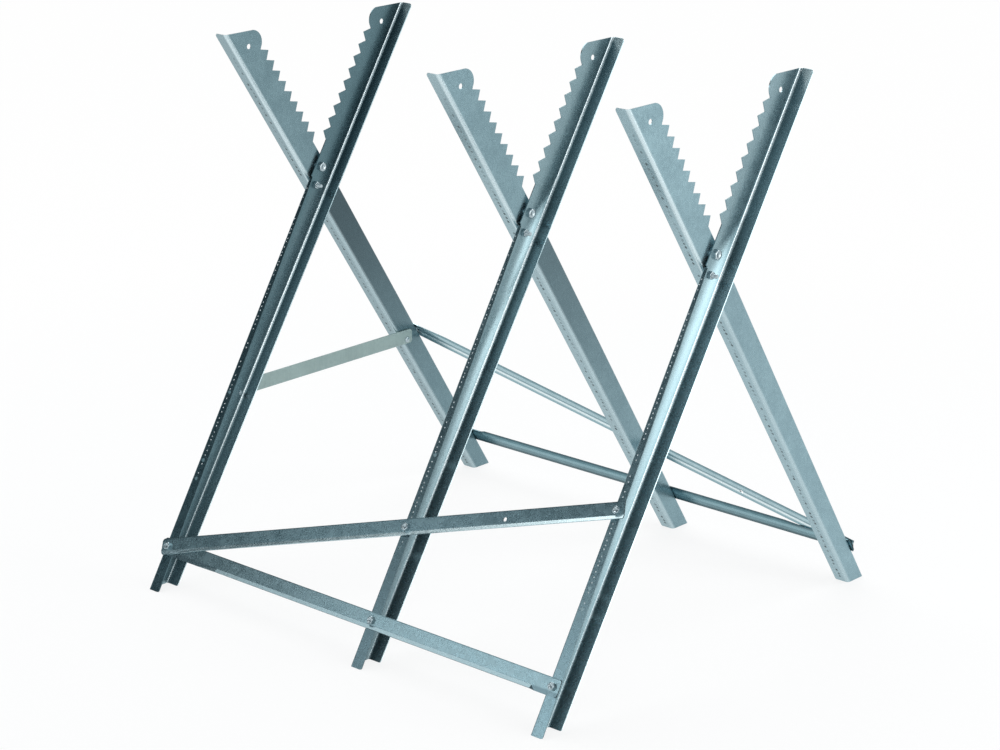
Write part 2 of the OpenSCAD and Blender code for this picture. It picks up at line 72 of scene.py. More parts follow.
class Wire:
    # a node's output that can stand in sums beside plain numbers
    def __init__(self, bench, socket):
        self.bench = bench
        self.socket = socket

    def __add__(self, other):
        return self.bench.math("ADD", self, other)

    def __sub__(self, other):
        return self.bench.math("SUBTRACT", self, other)

    def __rsub__(self, other):
        return self.bench.math("SUBTRACT", other, self)

    def __mul__(self, other):
        return self.bench.math("MULTIPLY", self, other)

    def __truediv__(self, other):
        return self.bench.math("DIVIDE", self, other)

    def __rtruediv__(self, other):
        return self.bench.math("DIVIDE", other, self)

    def __pow__(self, other):
        return self.bench.math("POWER", self, other)

    def __abs__(self):
        return self.bench.math("ABSOLUTE", self)

    def __gt__(self, other):
        return self.bench.math("GREATER_THAN", self, other)

    def __lt__(self, other):
        return self.bench.math("LESS_THAN", self, other)

    def floor(self):
        return self.bench.math("FLOOR", self)

    __radd__ = __add__
    __rmul__ = __mul__


class Bench:
    # makes the nodes of one tree
    def __init__(self, tree):
        self.tree = tree

    def feed(self, socket, value):
        if isinstance(value, Wire):
            self.tree.links.new(value.socket, socket)
        else:
            socket.default_value = value

    def node(self, kind, settings=None, inputs=None, output=0):
        made = self.tree.nodes.new(kind)
        for name, value in (settings or {}).items():
            setattr(made, name, value)
        for name, value in (inputs or {}).items():
            self.feed(made.inputs[name], value)
        return Wire(self, made.outputs[output])

    def math(self, operation, *values):
        return self.node("ShaderNodeMath", {"operation": operation}, dict(enumerate(values)))

    def mix(self, factor, first, second):
        settings = {"data_type": "RGBA", "clamp_factor": True}
        inputs = {0: factor, 6: first, 7: second}    # a Mix node's colours go in at 6 and 7, and out at 2
        return self.node("ShaderNodeMix", settings, inputs, 2)

    def spread(self, value, low, high, outLow=0.0, outHigh=1.0):
        settings = {"interpolation_type": "SMOOTHSTEP"}
        inputs = {0: value, 1: low, 2: high, 3: outLow, 4: outHigh}
        return self.node("ShaderNodeMapRange", settings, inputs)

    def dot(self, first, second):
        settings = {"operation": "DOT_PRODUCT"}
        return self.node("ShaderNodeVectorMath", settings, {0: first, 1: second}, "Value")

    def scaled(self, vector, factors):
        settings = {"operation": "MULTIPLY"}
        return self.node("ShaderNodeVectorMath", settings, {0: vector, 1: factors})

    def moved(self, vector, offset):
        settings = {"operation": "ADD"}
        return self.node("ShaderNodeVectorMath", settings, {0: vector, 1: offset})

    def noise(self, vector, scale, detail, output=0):
        inputs = {"Vector": vector, "Scale": scale, "Detail": detail}
        return self.node("ShaderNodeTexNoise", None, inputs, output)


def newMaterial(name):
    material = bpy.data.materials.new(name)
    material.use_nodes = True
    shader = material.node_tree.nodes["Principled BSDF"]
    return material, Bench(material.node_tree), shader


# how far a place lies along a leg from its pivot, or from a start past it
def legAlong(bench, place, turn, start=0.0):
    return bench.dot(place, tuple(upLeg * turn)) - (pivotAlong + start) * mm


# how far a place lies across a leg from its pivot, or from a start past it
def legAcross(bench, place, turn, start=0.0):
    return bench.dot(place, tuple(toV * turn)) - (pivotAcross + start) * mm


# a row of small marks: cells of one pitch along the leg, each with a mark of its own place and strength
def markRow(bench, place, marks):
    along = legAlong(bench, place, marks["turn"], marks["top"])
    across = bench.dot(place, alongStand) - marks["line"] * mm
    side = legAcross(bench, place, marks["turn"], marks["sideFrom"]) * marks["side"]
    cell = (along / (marks["pitch"] * mm)).floor()
    settings = {"noise_dimensions": "1D"}
    first = bench.node("ShaderNodeTexWhiteNoise", settings, {"W": cell})
    second = bench.node("ShaderNodeTexWhiteNoise", settings, {"W": cell + marks["secondDraw"]})
    middle = (cell + marks["earliest"] + first * marks["roam"]) * (marks["pitch"] * mm)
    away = (along - middle) / (marks["long"] * mm)
    off = (across - along * marks["drift"] + second * (marks["stray"] * mm)) / (marks["wide"] * mm)
    distance = (away * away + off * off) ** 0.5
    shape = bench.spread(distance, 1.0, marks["core"])
    kept = (second > marks["gaps"]) * (side > 0.0) * (along < 0.0) * (along > -marks["length"] * mm)
    return shape * kept * (marks["faint"] + first * (1.0 - marks["faint"]))


# a web bowed by its folding: from a line along the leg its face rises with the square of the distance,
# to its full slope at the outer fold; the line stands nearer the fold on the arm than on the leg
def bowedWeb(bench, place, bow):
    across = legAcross(bench, place, unturned)
    along = legAlong(bench, place, unturned)
    low, high = bow["legTop"] * mm, bow["armLow"] * mm
    width = bench.spread(along, low, high, bow["legWidth"] * mm, bow["armWidth"] * mm)
    reach = bench.math("MAXIMUM", width + bow["fold"] * mm - across, 0.0)
    return reach * reach / width * (math.tan(math.radians(bow["slope"])) / 2)


# a painted highlight along a fold: one on the fold's line, none some way to each side of it,
# and less towards the floor
def foldHighlight(bench, place, fold):
    off = bench.dot(place, alongStand) - fold["line"] * mm
    across = legAcross(bench, place, fold["turn"], fold["at"])
    height = bench.dot(place, upright) - stand["pivotHeight"] * mm
    share = bench.spread(height, fold["fullAbove"] * mm, fold["lowBelow"] * mm, 1.0, fold["lowShare"])
    line = bench.spread((off * off + across * across) ** 0.5, fold["fades"] * mm, fold["bright"] * mm)
    return line * share


# the painted light and the painted shade of a leg: its outer flange is painted lighter towards its edge and
# the floor and painted darker by the fold, the web is painted lighter towards the fold and darker by the
# neck, and the flange on the V side is painted darker all along; all but the outer flange is painted darker
# towards the floor
def legPaintedLightAndShade(bench, place, paintedLightAndShade):
    turn = paintedLightAndShade["turn"]
    out = bench.dot(place, (float(turn[0]), 0.0, 0.0)) - paintedLightAndShade["line"] * mm
    across = legAcross(bench, place, turn)
    along = legAlong(bench, place, turn)
    flange = bench.spread(across, paintedLightAndShade["flangeFrom"] * mm, paintedLightAndShade["flangeFull"] * mm)
    edge = bench.spread(out, paintedLightAndShade["foldEnd"] * mm, paintedLightAndShade["edge"] * mm)
    raised = bench.spread(out, paintedLightAndShade["webTop"] * mm, paintedLightAndShade["foldEnd"] * mm)
    below = bench.spread(along, paintedLightAndShade["armLow"] * mm, paintedLightAndShade["lowFrom"] * mm)
    low = bench.spread(along, paintedLightAndShade["lowFrom"] * mm, paintedLightAndShade["lowFull"] * mm)
    web = below * (1.0 - flange) * (1.0 - raised)
    rise = bench.spread(across, paintedLightAndShade["riseFrom"] * mm, paintedLightAndShade["flangeFrom"] * mm)
    flangeLightShare = edge * paintedLightAndShade["edgePaintedLight"] + low * below * paintedLightAndShade["lowPaintedLight"] + paintedLightAndShade["flangePaintedLight"]
    paintedLight = flange * (flangeLightShare + below * paintedLightAndShade["legPaintedLight"]) + web * rise * paintedLightAndShade["webPaintedLight"]
    paintedShade = (1.0 - flange) * (low * paintedLightAndShade["lowPaintedShade"] + raised * paintedLightAndShade["vPaintedShade"])
    paintedShade = paintedShade + flange * (1.0 - edge) * paintedLightAndShade["foldPaintedShade"] + web * (1.0 - low) * paintedLightAndShade["neckPaintedShade"]
    return paintedLight, paintedShade


# a painted band of light or shade along a strip: one on its line, none past its half width
def stripLightAndShadeBand(bench, place, strip, band):
    off = abs(bench.dot(place, strip["axis"]) - (strip["zero"] + band["at"]) * mm)
    return bench.spread(off, band["half"] * mm, band["half"] * strip["core"] * mm) * band["share"]


# painted shade on a strip's cut ends: one on the faces it was cut off at, which look along the stand
def shadedCutEnds(bench, strip):
    facing = bench.node("ShaderNodeNewGeometry", None, None, "Normal")
    return bench.spread(abs(bench.dot(facing, alongStand)), strip["cutFrom"], strip["cutFull"])


# zinc on steel: spangle crystals with wandering edges, clouds, specks and streaks mix two colours, and
# painted light and shade, painted fold highlights, painted bands of light and shade, painted shade on cut
# ends and marks lie over them where a sheet has them
def galvanised(name, look, marks=None, bow=None, fold=None, paintedLightAndShade=None, strip=None):
    material, bench, shader = newMaterial(name)
    place = bench.node("ShaderNodeTexCoord", None, None, "Object")
    wander = bench.noise(place, look["wanderScale"], look["fineDetail"], "Color")
    bent = bench.moved(place, bench.scaled(wander, (look["wander"] * mm,) * 3))
    cells = {"Vector": bent, "Scale": look["spangleScale"]}
    crystal = bench.node("ShaderNodeTexVoronoi", None, cells, "Color")
    grain = bench.node("ShaderNodeSeparateColor", None, {0: crystal})
    cloud = bench.noise(place, look["cloudScale"], look["cloudDetail"])
    speck = bench.noise(place, look["speckScale"], look["fineDetail"])
    drawn = {"Vector": place, "Rotation": look["flow"], "Scale": (1.0, 1.0, look["streakDraw"])}
    flow = bench.node("ShaderNodeMapping", None, drawn)
    streak = bench.noise(flow, look["streakScale"], look["fineDetail"])
    tone = (grain - meanNoise) * look["spangle"] + (cloud - meanNoise) * look["cloud"]
    tone = tone + (speck - meanNoise) * look["speck"] + (streak - meanNoise) * look["streak"] + meanNoise
    colour = bench.mix(tone, look["dark"], look["light"])
    # a leg's painted light and painted shade
    if paintedLightAndShade:
        paintedLight, paintedShade = legPaintedLightAndShade(bench, place, paintedLightAndShade)
        colour = bench.mix(paintedShade, bench.mix(paintedLight, colour, paintedLightAndShade["paintedLightColour"]), paintedLightAndShade["paintedShadeColour"])
    # a painted highlight along a fold
    if fold:
        colour = bench.mix(foldHighlight(bench, place, fold), colour, fold["colour"])
    # painted bands of light and shade along a strip, and painted shade on its cut ends
    if strip:
        for band in strip["lightAndShadeBands"]:
            colour = bench.mix(stripLightAndShadeBand(bench, place, strip, band), colour, band["colour"])
        colour = bench.mix(shadedCutEnds(bench, strip), colour, strip["cutShadeColour"])
    rough = look["rough"] + (cloud - meanNoise) * look["roughCloud"]
    rough = rough + (grain - meanNoise) * look["roughSpangle"]
    if marks:
        # stamped marks; the near-white ones on the front legs are painted glints
        mask = markRow(bench, place, marks)
        colour = bench.mix(mask, colour, marks["colour"])
        rough = rough + mask * marks["rough"]
        bench.feed(shader.inputs["Metallic"], look["metallic"] - mask * marks["dull"])
    else:
        shader.inputs["Metallic"].default_value = look["metallic"]
    height = grain * look["relief"] + speck * look["fineRelief"] + cloud * look["wave"]
    height = height * (look["bump"] * look["bumpDepth"] * mm)
    if bow:
        height = height + bowedWeb(bench, place, bow)
    bump = {"Strength": 1.0, "Distance": 1.0, "Height": height}
    bench.feed(shader.inputs["Normal"], bench.node("ShaderNodeBump", None, bump))
    bench.feed(shader.inputs["Base Color"], colour)
    bench.feed(shader.inputs["Roughness"], rough)
    return material


sheetLook = {
    "dark": (0.19, 0.285, 0.32, 1.0),
    "light": (0.35, 0.485, 0.53, 1.0),
    "metallic": 0.9,
    "rough": 0.27,
    "roughCloud": 0.08,
    "roughSpangle": 0.04,
    "spangleScale": 190.0,
    "spangle": 0.16,
    "cloudScale": 26.0,
    "cloudDetail": 3.0,
    "cloud": 0.55,
    "speckScale": 1100.0,
    "speck": 0.55,
    "streakScale": 420.0,
    "streakDraw": 0.04,
    "streak": 0.22,
    "flow": (-lean, 0.0, 0.0),
    "wanderScale": 90.0,
    "wander": 9.0,
    "fineDetail": 2.0,
    "relief": 0.25,
    "fineRelief": 0.22,
    "wave": 0.7,
    "bump": 0.22,
    "bumpDepth": 0.35,
}
# the rear legs' sheet: the same zinc as the front legs, painted darker as shade
rearShadedLook = {
    **sheetLook,
    "dark": (0.165, 0.25, 0.285, 1.0),
    "light": (0.315, 0.445, 0.49, 1.0),
    "flow": (lean, 0.0, 0.0),
}
markLook = {
    "secondDraw": 71.3,
    "earliest": 0.3,
    "roam": 0.4,
    "core": 0.55,
    "rough": 0.25,
}
# stamped marks on the front legs, coloured near white as painted glints
frontGlintMarks = {
    **markLook,
    "turn": unturned,
    "top": -36.0,
    "side": 1.0,
    "sideFrom": -8.0,
    "drift": -0.0117,
    "length": 470.0,
    "pitch": 7.4,
    "long": 1.3,
    "wide": 1.15,
    "stray": 0.8,
    "gaps": 0.16,
    "faint": 0.7,
    "offset": 5.9,
    "colour": (0.86, 0.93, 0.95, 1.0),
    "dull": 1.0,
}
rearMarks = {
    **markLook,
    "turn": turnAbout,
    "top": 245.0,
    "side": -1.0,
    "sideFrom": -24.0,
    "drift": 0.0,
    "length": 900.0,
    "pitch": 7.6,
    "long": 2.9,
    "wide": 2.5,
    "stray": 2.4,
    "gaps": 0.2,
    "faint": 0.2,
    "offset": -12.2,
    "colour": (0.05, 0.085, 0.095, 1.0),
    "dull": 0.8,
}
webBow = {"fold": -28.5, "legTop": -30.0, "armLow": 75.0, "slope": 24.0}
bowWidths = {
    "left": {"legWidth": 4.0, "armWidth": 4.0},
    "middle": {"legWidth": 28.0, "armWidth": 7.0},
    "right": {"legWidth": 40.0, "armWidth": 10.0},
}
# painted highlights along the outer folds of the front and rear legs
frontFoldHighlight = {
    "turn": unturned,
    "offset": 4.2,
    "at": -26.3,
    "bright": 1.3,
    "fades": 2.8,
    "colour": (0.80, 0.91, 0.94, 1.0),
    "fullAbove": -180.0,
    "lowBelow": -500.0,
    "lowShare": 0.3,
}
rearFoldHighlight = {
    "turn": turnAbout,
    "offset": -2.0,
    "at": -28.5,
    "bright": 1.8,
    "fades": 6.5,
    "colour": (0.64, 0.78, 0.82, 1.0),
    "fullAbove": 20.0,
    "lowBelow": -90.0,
    "lowShare": 0.4,
}
# painted light and painted shade on a leg: none unless a side sets it
legPaintedLightAndShadeLook = {
    "riseFrom": 6.0,
    "flangeFrom": -24.5,
    "flangeFull": -26.5,
    "webTop": 1.0,
    "foldEnd": 4.0,
    "edge": 21.0,
    "armLow": 30.0,
    "lowFrom": -60.0,
    "lowFull": -560.0,
    "paintedLightColour": (0.62, 0.78, 0.82, 1.0),
    "paintedShadeColour": (0.06, 0.095, 0.11, 1.0),
    "flangePaintedLight": 0.0, "legPaintedLight": 0.0, "edgePaintedLight": 0.0, "lowPaintedLight": 0.0, "webPaintedLight": 0.0,
    "foldPaintedShade": 0.0, "lowPaintedShade": 0.0, "vPaintedShade": 0.0, "neckPaintedShade": 0.0,
}
# per side, the shares of painted light and painted shade on the front legs
frontPaintedLightAndShade = {
    "left": {
        "legPaintedLight": 0.06, "edgePaintedLight": 0.2, "lowPaintedLight": 0.4, "webPaintedLight": 0.28, "foldPaintedShade": 0.7, "vPaintedShade": 0.3,
    },
    "middle": {
        "edgePaintedLight": 0.25, "lowPaintedLight": 0.5, "webPaintedLight": 0.1, "foldPaintedShade": 0.45, "lowPaintedShade": 0.55, "vPaintedShade": 0.1,
    },
    "right": {
        "legPaintedLight": 0.25, "edgePaintedLight": 0.35, "lowPaintedLight": 0.3, "foldPaintedShade": 0.35, "lowPaintedShade": 0.3,
    },
}
# per side, outer flanges painted lighter and webs painted darker by the neck on the rear legs
rearPaintedLightAndShade = {
    "left": {"flangePaintedLight": 0.22, "neckPaintedShade": 0.95},
    "middle": {"flangePaintedLight": 0.3, "neckPaintedShade": 0.65},
    "right": {"flangePaintedLight": 0.22, "neckPaintedShade": 0.1},
}
# each leg's sheet made darker or lighter: partly tarnish, partly painted light and shade
frontTarnishAndShade = {"left": (0.38, 0.47, 0.49), "middle": (0.84, 0.88, 0.88), "right": (0.92, 0.95, 0.95)}
rearTarnishAndShade = {"left": (0.70, 0.77, 0.78), "middle": (0.88, 0.95, 0.96), "right": (1.05, 1.12, 1.13)}


def shaded(look, factors):
    return {**look, **{shade: tuple(np.array(look[shade]) * (*factors, 1.0)) for shade in ("dark", "light")}}


for side, x in stand["frames"].items():
    nodes["front_leg_" + side].data.materials[0] = galvanised(
        "front_sheet_" + side,
        shaded(sheetLook, frontTarnishAndShade[side]),
        marks={**frontGlintMarks, "line": x + frontGlintMarks["offset"]},
        bow={**webBow, **bowWidths[side]},
        fold={**frontFoldHighlight, "line": x + frontFoldHighlight["offset"]},
        paintedLightAndShade={**legPaintedLightAndShadeLook, **frontPaintedLightAndShade[side], "turn": unturned, "line": x + stand["webBack"]},
    )
    nodes["rear_leg_" + side].data.materials[0] = galvanised(
        "rear_sheet_" + side,
        shaded(rearShadedLook, rearTarnishAndShade[side]),
        marks={**rearMarks, "line": x + rearMarks["offset"]},
        fold={**rearFoldHighlight, "line": x + rearFoldHighlight["offset"]},
        paintedLightAndShade={**legPaintedLightAndShadeLook, **rearPaintedLightAndShade[side], "turn": turnAbout, "line": stand["webBack"] - x},
    )
print("leg materials set")

bracePlaces = {
    "low": 69.0,
    "high": 315.0,
    "middleFront": 206.59,
    "middleRear": 177.41,
}
holeX = stand["webFace"] + stand["holeIn"]
braceSpan = stand["frames"]["right"] - stand["frames"]["left"]
braceTurn = math.atan2(bracePlaces["high"] - bracePlaces["low"], braceSpan)
braceUp = np.array([0.0, math.sin(braceLean), math.cos(braceLean)])
diagonalUp = braceUp * math.cos(braceTurn) - np.array([math.sin(braceTurn), 0.0, 0.0])
lowBolt = np.array([stand["frames"]["left"] + holeX, braceY, 0.0]) + braceUp * bracePlaces["low"]
stripLook = {
    **sheetLook,
    "flow": (0.0, math.pi / 2, 0.0),
    "cloudScale": 48.0,
    "cloud": 0.85,
    "wave": 1.1,
}
# a strip's cut ends are painted dark as shade
stripCut = {
    "core": 0.5,
    "cutFrom": 0.55,
    "cutFull": 0.85,
    "cutShadeColour": (0.03, 0.05, 0.055, 1.0),
}
# each brace's colours are painted lighter or darker for how light falls on it, and its bands are painted
# light and shade
# a band's place is measured up the strip from the line of its bolts
braceLitAndShadedLooks = {
    "front_diagonal_brace": {
        "up": diagonalUp,
        "turn": unturned,
        "look": {"dark": (0.14, 0.225, 0.255, 1.0), "light": (0.29, 0.42, 0.46, 1.0), "streak": 0.22},
        "lightAndShadeBands": [
            {"at": 11.8, "half": 1.4, "colour": (0.06, 0.10, 0.115, 1.0), "share": 0.6},
            {"at": -10.0, "half": 4.4, "colour": (0.50, 0.64, 0.68, 1.0), "share": 0.85},
        ],
    },
    "front_lower_brace": {
        "up": braceUp,
        "turn": unturned,
        "look": {"dark": (0.165, 0.25, 0.275, 1.0), "light": (0.305, 0.425, 0.46, 1.0), "streak": 0.5},
        "lightAndShadeBands": [
            {"at": 11.8, "half": 1.4, "colour": (0.06, 0.10, 0.115, 1.0), "share": 0.6},
            {"at": -10.0, "half": 5.0, "colour": (0.12, 0.18, 0.205, 1.0), "share": 0.7},
        ],
    },
    "rear_diagonal_brace": {
        "up": diagonalUp,
        "turn": turnAbout,
        "look": {"dark": (0.30, 0.45, 0.49, 1.0), "light": (0.54, 0.71, 0.76, 1.0), "streak": 0.22},
        "lightAndShadeBands": [
            {"at": 11.4, "half": 1.8, "colour": (0.15, 0.27, 0.31, 1.0), "share": 0.75},
            {"at": 3.3, "half": 2.4, "colour": (0.14, 0.26, 0.30, 1.0), "share": 0.75},
            {"at": -1.8, "half": 3.2, "colour": (0.82, 0.93, 0.95, 1.0), "share": 0.85},
            {"at": -10.0, "half": 5.0, "colour": (0.20, 0.36, 0.41, 1.0), "share": 0.7},
        ],
    },
    "rear_lower_brace": {
        "up": braceUp,
        "turn": turnAbout,
        "look": {"dark": (0.08, 0.165, 0.195, 1.0), "light": (0.20, 0.35, 0.395, 1.0), "streak": 0.22},
        "lightAndShadeBands": [
            {"at": 11.4, "half": 1.8, "colour": (0.05, 0.10, 0.12, 1.0), "share": 0.7},
            {"at": 4.0, "half": 4.5, "colour": (0.25, 0.43, 0.48, 1.0), "share": 0.75},
            {"at": -10.0, "half": 5.0, "colour": (0.035, 0.08, 0.095, 1.0), "share": 0.8},
        ],
    },
}
for name, brace in braceLitAndShadedLooks.items():
    stripUp = brace["up"] * brace["turn"]
    zero = float(np.dot(stripUp, lowBolt * brace["turn"]))
    strip = {**stripCut, "axis": tuple(stripUp), "zero": zero, "lightAndShadeBands": brace["lightAndShadeBands"]}
    nodes[name].data.materials[0] = galvanised(name + "_strip", {**stripLook, **brace["look"]}, strip=strip)

strapLook = {
    **sheetLook,
    "dark": (0.22, 0.30, 0.295, 1.0),
    "light": (0.415, 0.535, 0.525, 1.0),
    "metallic": 0.85,
    "rough": 0.5,
    "spangle": 0.12,
    "speck": 0.9,
    "flow": (math.pi / 2, 0.0, 0.0),
}
nodes["spreader_strap"].data.materials[0] = galvanised("strap_strip", strapLook)

zincLook = {
    **sheetLook,
    "dark": (0.30, 0.39, 0.42, 1.0),
    "light": (0.54, 0.63, 0.67, 1.0),
    "rough": 0.24,
    "roughCloud": 0.16,
    "spangle": 0.1,
    "cloudScale": 220.0,
    "streak": 0.1,
    "wave": 0.2,
}
zinc = galvanised("zinc_plate", zincLook)
for side in stand["frames"]:
    nodes["pivot_spacer_" + side].data.materials[0] = zinc
print("strip and hardware materials set")


# a skin over rings of points; it is closed by flat ends, or by joining the last ring to the first
def skin(rings, joined=False):
    count, sides = rings.shape[:2]
    index = np.arange(count * sides).reshape(count, sides)
    last = count if joined else count - 1
    low = index[np.arange(last)]
    high = index[(np.arange(last) + 1) % count]
    quads = np.stack([low, np.roll(low, -1, 1), np.roll(high, -1, 1), high], -1).reshape(-1, 4)
    faces = quads.tolist()
    if not joined:
        faces += [index[0, ::-1].tolist(), index[-1].tolist()]
    return rings.reshape(-1, 3), faces


# what all turned pieces share
turned = {
    "sides": 48,
    "sharp": 32.0,
    "threadSteps": 6,
    "threadDepth": 0.61,
    "endSlope": 0.8,
    "runOut": 0.2,
    "chamferShare": 0.95,
    "chamferAngle": 30.0,
    "chamferSteps": 5,
    "dishShares": (1.0, 0.93, 0.75, 0.5, 0.2),
    "domeSteps": 7,
    "domeTaper": 0.45,
    "domeLeast": 0.2,
    "edgeSteps": 4,
}
angles = np.arange(turned["sides"]) * 2 * math.pi / turned["sides"]


# a ring's points stand at its radii, by the cosine and the sine of their angles, at one height
def ring(radii, height):
    radii = np.broadcast_to(radii, angles.shape)
    return np.stack([radii * np.cos(angles), radii * np.sin(angles), np.full_like(angles, height)], -1)


# the distance from the axis to a hexagon's side is its half width over the cosine of the angle
# from the side's middle
def hexRadii(across):
    turn = (angles + math.pi / 6) % (math.pi / 3) - math.pi / 6
    return across / 2 / np.cos(turn)


# the hexagon is cut by a cone, whose radius falls as it nears each chamfered end
def hexRings(across, low, high, lowCut, highCut):
    half = across / 2
    hexagon = hexRadii(across)
    least = half * turned["chamferShare"]
    slope = math.tan(math.radians(turned["chamferAngle"]))
    band = (half / math.cos(math.pi / 6) - least) * slope
    heights = np.concatenate([
        low + np.linspace(0.0, band, turned["chamferSteps"]) if lowCut else [low],
        high - np.linspace(band, 0.0, turned["chamferSteps"]) if highCut else [high],
    ])
    rings = []
    for height in heights:
        fromLow = least + (height - low) / slope if lowCut else np.inf
        fromHigh = least + (high - height) / slope if highCut else np.inf
        rings.append(ring(np.minimum(hexagon, min(fromLow, fromHigh)), height))
    return rings


# the thread's radius falls and rises once in each pitch of height, and turns with the angle
def threadRings(radius, low, high, pitch, endCut):
    depth = turned["threadDepth"] * pitch
    rings = []
    for height in np.arange(low, high, pitch / turned["threadSteps"]):
        phase = (height / pitch - angles / (2 * math.pi)) % 1.0
        cut = radius - max(0.0, endCut - min(height - low, endCut)) * turned["endSlope"]
        rings.append(ring(np.minimum(radius - depth * np.abs(2 * phase - 1), cut), height))
    return rings


# a dome rises with the sine of an angle, and its radius falls with one less the cosine
def domeRings(radius, low, high, rounding):
    drop = (high - low) * rounding
    rings = []
    for angle in np.linspace(0.0, math.pi / 2, turned["domeSteps"]):
        drawnIn = radius * (1 - turned["domeTaper"] * rounding * (1 - math.cos(angle)))
        rings.append(ring(max(drawnIn, turned["domeLeast"]), high - drop * (1 - math.sin(angle))))
    return rings


# heights change sign, and the rings' order with them, so that faces still point outwards
def upsideDown(rings):
    return [part * np.array([1.0, 1.0, -1.0]) for part in rings[::-1]]


# a thread, a plain shank and a hexagon head, whose dish deepens by one less the square of its radius
def hexBolt(size):
    radius = size["radius"]
    rings = threadRings(radius, -size["length"], -size["plain"], size["pitch"], size["endCut"])
    rings += [ring(radius, -size["plain"] + turned["runOut"]), ring(radius, 0.0)]
    rings += hexRings(size["across"], 0.0, size["head"], False, True)
    dish = size["across"] / 2 * size["dishShare"]
    for share in turned["dishShares"]:
        rings.append(ring(dish * share, size["head"] - size["dishDeep"] * (1 - share ** 2)))
    return np.array(rings)


# a hexagon chamfered at both ends, round a bore that flares at both
def hexNut(size):
    rings = hexRings(size["across"], 0.0, size["high"], True, True)
    flare = size["bore"] + size["flare"]
    rings += [ring(flare, size["high"]), ring(size["bore"], size["high"] - size["flare"])]
    rings += [ring(size["bore"], size["flare"]), ring(flare, 0.0)]
    return np.array(rings)


# a flat ring whose two outer edges are quarter circles
def disc(radius, bore, high, rounding):
    steps = np.linspace(0.0, math.pi / 2, turned["edgeSteps"])
    rings = [ring(radius - rounding * (1 - math.sin(t)), rounding * (1 - math.cos(t))) for t in steps]
    rings += [ring(radius - rounding * (1 - math.cos(t)), high - rounding * (1 - math.sin(t))) for t in steps]
    rings += [ring(bore, high), ring(bore, 0.0)]
    return np.array(rings)


# rings are turned about their own axis
def spun(rings, angle):
    c, s = math.cos(angle), math.sin(angle)
    return rings @ np.array([[c, s, 0.0], [-s, c, 0.0], [0.0, 0.0, 1.0]])


# rings are carried from their own axes to a place on the stand
def carried(rings, origin, axes):
    return rings @ np.array(axes) + np.array(origin)


def addPiece(name, body, skins, material, replaced):
    points, faces, base = [], [], 0
    for skinPoints, skinFaces in skins:
        points.append(skinPoints)
        faces += [[corner + base for corner in face] for face in skinFaces]
        base += len(skinPoints)
    mesh = bpy.data.meshes.new(name)
    mesh.from_pydata((np.concatenate(points) * mm).tolist(), [], faces)
    mesh.shade_smooth()
    mesh.set_sharp_from_angle(angle=math.radians(turned["sharp"]))
    mesh.materials.append(material)
    made = bpy.data.objects.new(name, mesh)
    bpy.context.scene.collection.objects.link(made)
    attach(made, body)
    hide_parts(*replaced)


braceBolt = {
    "radius": 3.0, "length": 12.0, "plain": 4.0, "pitch": 1.0, "endCut": 0.9,
    "across": 10.0, "head": 4.0, "dishShare": 0.66, "dishDeep": 0.9,
}
braceNut = {"across": 10.0, "high": 5.0, "bore": 3.05, "flare": 0.35}
braceWasher = {"radius": 6.0, "bore": 3.1, "high": 1.5, "rounding": 0.35}
spinSeed = 5
braceSides = {
    "front": (unturned, stand["frames"]["middle"], bracePlaces["middleFront"]),
    "rear": (turnAbout, -stand["frames"]["middle"], bracePlaces["middleRear"]),
}
bolt, nut, washer = hexBolt(braceBolt), hexNut(braceNut), disc(**braceWasher)
leftX, rightX = stand["frames"]["left"] + holeX, stand["frames"]["right"] + holeX
lowHole, highHole = bracePlaces["low"], bracePlaces["high"]
thin, double = stand["sheet"], stand["sheet"] * 2
for side, (turn, middleFrame, middleHole) in braceSides.items():
    origin = np.array([0.0, braceY, 0.0]) * turn
    axes = np.array([
        [1.0, 0.0, 0.0],
        [0.0, math.sin(braceLean), math.cos(braceLean)],
        [0.0, -math.cos(braceLean), math.sin(braceLean)],
    ]) * turn
    # each place is along the stand, up the flange and out from it, by the sheets under the bolt's head
    middleX = middleFrame + holeX
    bare = [[leftX, lowHole, double], [middleX, lowHole, thin], [rightX, lowHole, thin]]
    shimmed = [[middleX, middleHole, double], [rightX, highHole, double]]
    places = np.array(bare + shimmed)
    spin = np.random.default_rng(spinSeed).uniform(0.0, math.pi / 3, (2, len(places)))
    bolts, nuts, washers = [], [], []
    for place, boltSpin, nutSpin in zip(places, *spin):
        bolts.append(skin(carried(spun(bolt, boltSpin) + place, origin, axes)))
        nutPlace = np.array([place[0], place[1], -stand["sheet"] - braceNut["high"]])
        nuts.append(skin(carried(spun(nut, nutSpin) + nutPlace, origin, axes), True))
    for place in shimmed:
        washers.append(skin(carried(washer + np.array([place[0], place[1], 0.0]), origin, axes), True))
    body = side + "_frame"
    addPiece(side + "_hex_bolts", body, bolts, zinc, [side + "_brace_bolts"])
    addPiece(side + "_hex_nuts", body, nuts, zinc, [side + "_brace_nuts"])
    addPiece(side + "_shims", body, washers, zinc, [side + "_brace_washers"])
print("brace fasteners made")

